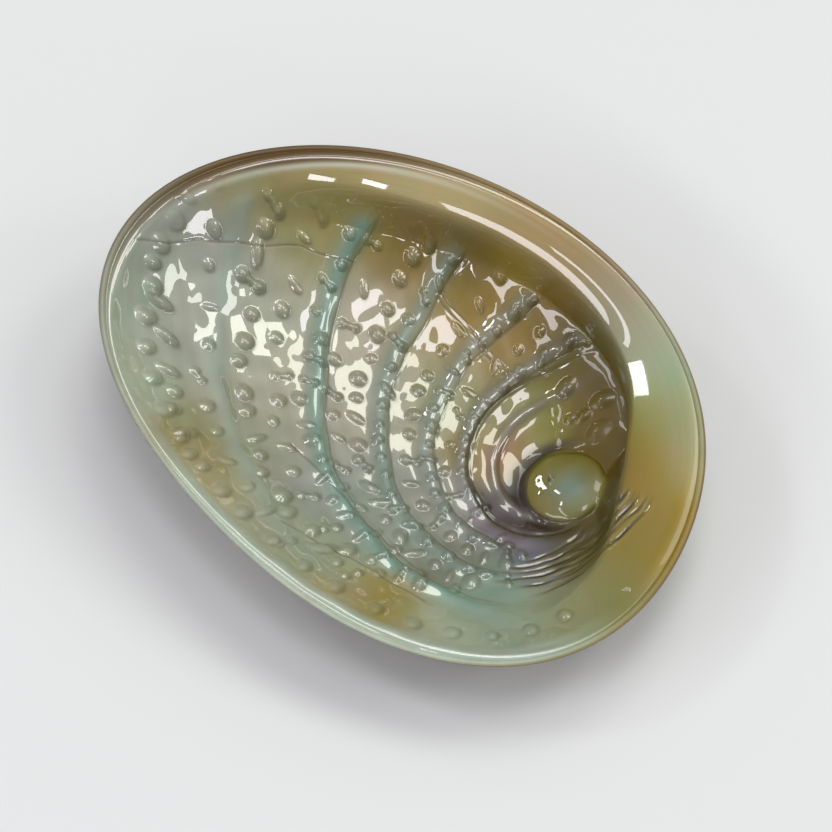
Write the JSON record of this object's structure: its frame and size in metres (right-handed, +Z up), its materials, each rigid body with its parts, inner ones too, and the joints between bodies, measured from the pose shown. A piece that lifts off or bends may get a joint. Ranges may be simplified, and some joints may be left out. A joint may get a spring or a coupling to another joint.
{
  "type": "abalone shell",
  "caption": "Empty abalone shell with a pearly bumpy inside, a broad inner shelf and a low spire, lying on its back as an open bowl.",
  "frame": {"origin": "middle of the footprint, on the surface that the shell rests on", "axes": "+X along the shell towards the spire end, +Y across it towards the inner shelf, +Z up, out of the mouth"},
  "size_m": [0.1496, 0.109, 0.0354],
  "materials": {
    "nacre": "glossy pearly nacre inside, grey-green to teal, taupe and olive gold; ridged olive-brown crust on the back"
  },
  "bodies": {
    "root": {"abalone_shell": "nacre"}
  },
  "joints": []
}
